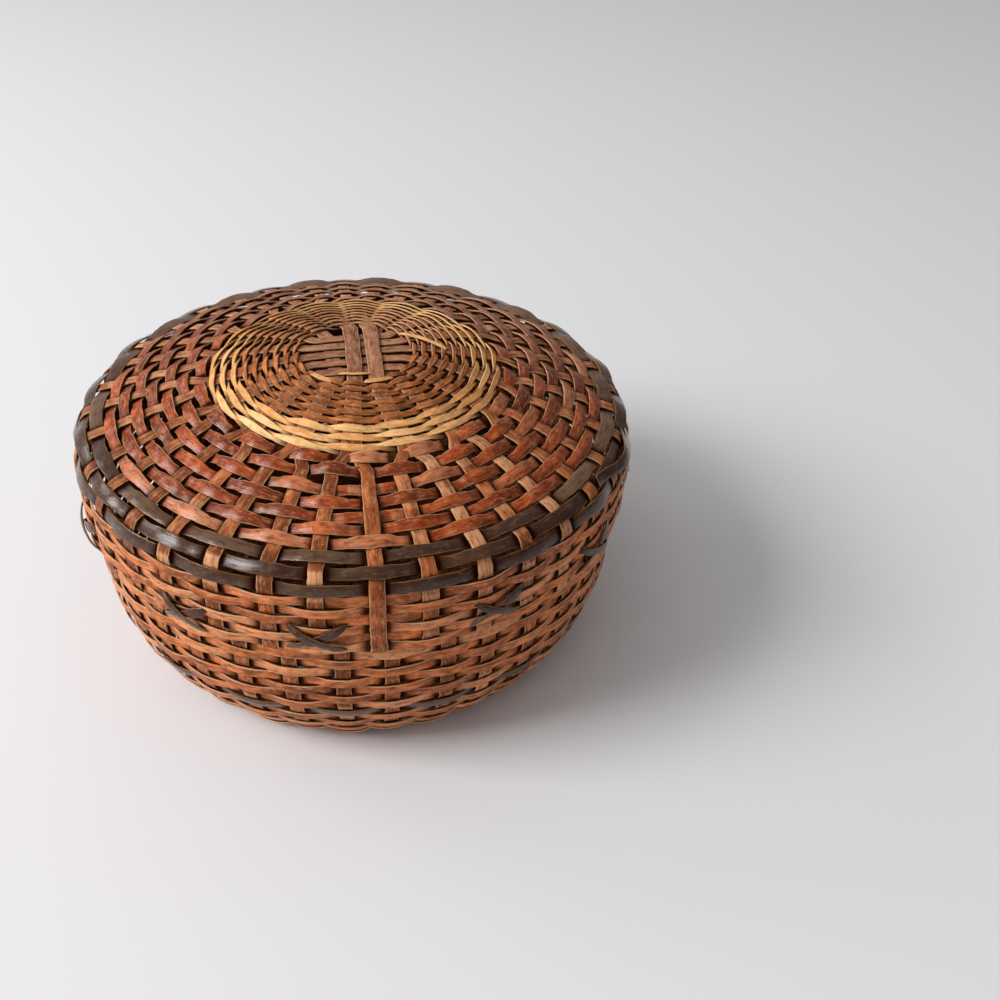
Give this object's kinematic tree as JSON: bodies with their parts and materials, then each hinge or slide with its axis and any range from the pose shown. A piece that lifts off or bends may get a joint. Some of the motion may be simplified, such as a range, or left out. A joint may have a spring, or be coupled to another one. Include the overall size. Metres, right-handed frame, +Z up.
{
  "type": "lidded splint basket",
  "caption": "Small round woven splint basket with a deep lift-off lid, dark bands on the lid's shoulder and X ornaments round its side.",
  "frame": {"origin": "on the floor, under the middle of the base", "axes": "+Z up along the way the lid lifts, -Y towards the side that the picture shows in front"},
  "size_m": [0.1074, 0.1074, 0.058],
  "materials": {
    "stake_splint": "satin",
    "brown_splint": "satin gloss",
    "tan_splint": "satin",
    "dark_splint": "satin gloss",
    "wall_splint": "satin"
  },
  "bodies": {
    "basket": {"base_cross_stakes": "stake_splint", "base_inner_row_1": "wall_splint", "base_inner_row_2": "wall_splint", "base_inner_row_3": "wall_splint", "base_inner_row_4": "wall_splint", "base_inner_row_5": "wall_splint", "base_outer_row_1": "wall_splint", "base_outer_row_2": "wall_splint", "base_outer_row_3": "wall_splint", "base_over_stakes": "stake_splint", "base_under_stakes": "stake_splint", "neck_row_1": "wall_splint", "neck_row_2": "wall_splint", "neck_row_3": "wall_splint", "neck_row_4": "wall_splint", "wall_row_1": "wall_splint", "wall_row_2": "wall_splint", "wall_row_3": "wall_splint", "wall_row_4": "wall_splint", "wall_row_5": "wall_splint", "wall_row_6": "wall_splint", "wall_row_7": "dark_splint", "wall_row_8": "wall_splint", "wall_row_9": "wall_splint", "wall_row_10": "wall_splint", "wall_row_11": "wall_splint", "wall_row_12": "wall_splint", "wall_row_13": "wall_splint", "wall_row_14": "wall_splint"},
    "lid": {"lid_cross_stakes": "stake_splint", "lid_dark_row_1": "dark_splint", "lid_dark_row_2": "dark_splint", "lid_dark_row_3": "dark_splint", "lid_hub_row_1": "brown_splint", "lid_hub_row_2": "brown_splint", "lid_hub_row_3": "brown_splint", "lid_hub_row_4": "brown_splint", "lid_hub_row_5": "brown_splint", "lid_over_stakes": "stake_splint", "lid_side_row_1": "wall_splint", "lid_side_row_2": "wall_splint", "lid_side_row_3": "wall_splint", "lid_side_row_4": "wall_splint", "lid_side_row_5": "wall_splint", "lid_side_row_6": "wall_splint", "lid_tan_row_1": "tan_splint", "lid_tan_row_2": "tan_splint", "lid_tan_row_3": "tan_splint", "lid_top_row_1": "brown_splint", "lid_top_row_2": "brown_splint", "lid_top_row_3": "brown_splint", "lid_top_row_4": "brown_splint", "lid_top_row_5": "brown_splint", "lid_top_row_6": "brown_splint", "lid_top_row_7": "brown_splint", "lid_under_stakes": "stake_splint", "lid_x_over_strips": "dark_splint", "lid_x_strips": "dark_splint"}
  },
  "joints": [
    {"name": "lid_lift", "type": "slide", "parent": "basket", "child": "lid", "axis": [0, 0, 1], "range_m": [0, 0.06]}
  ]
}
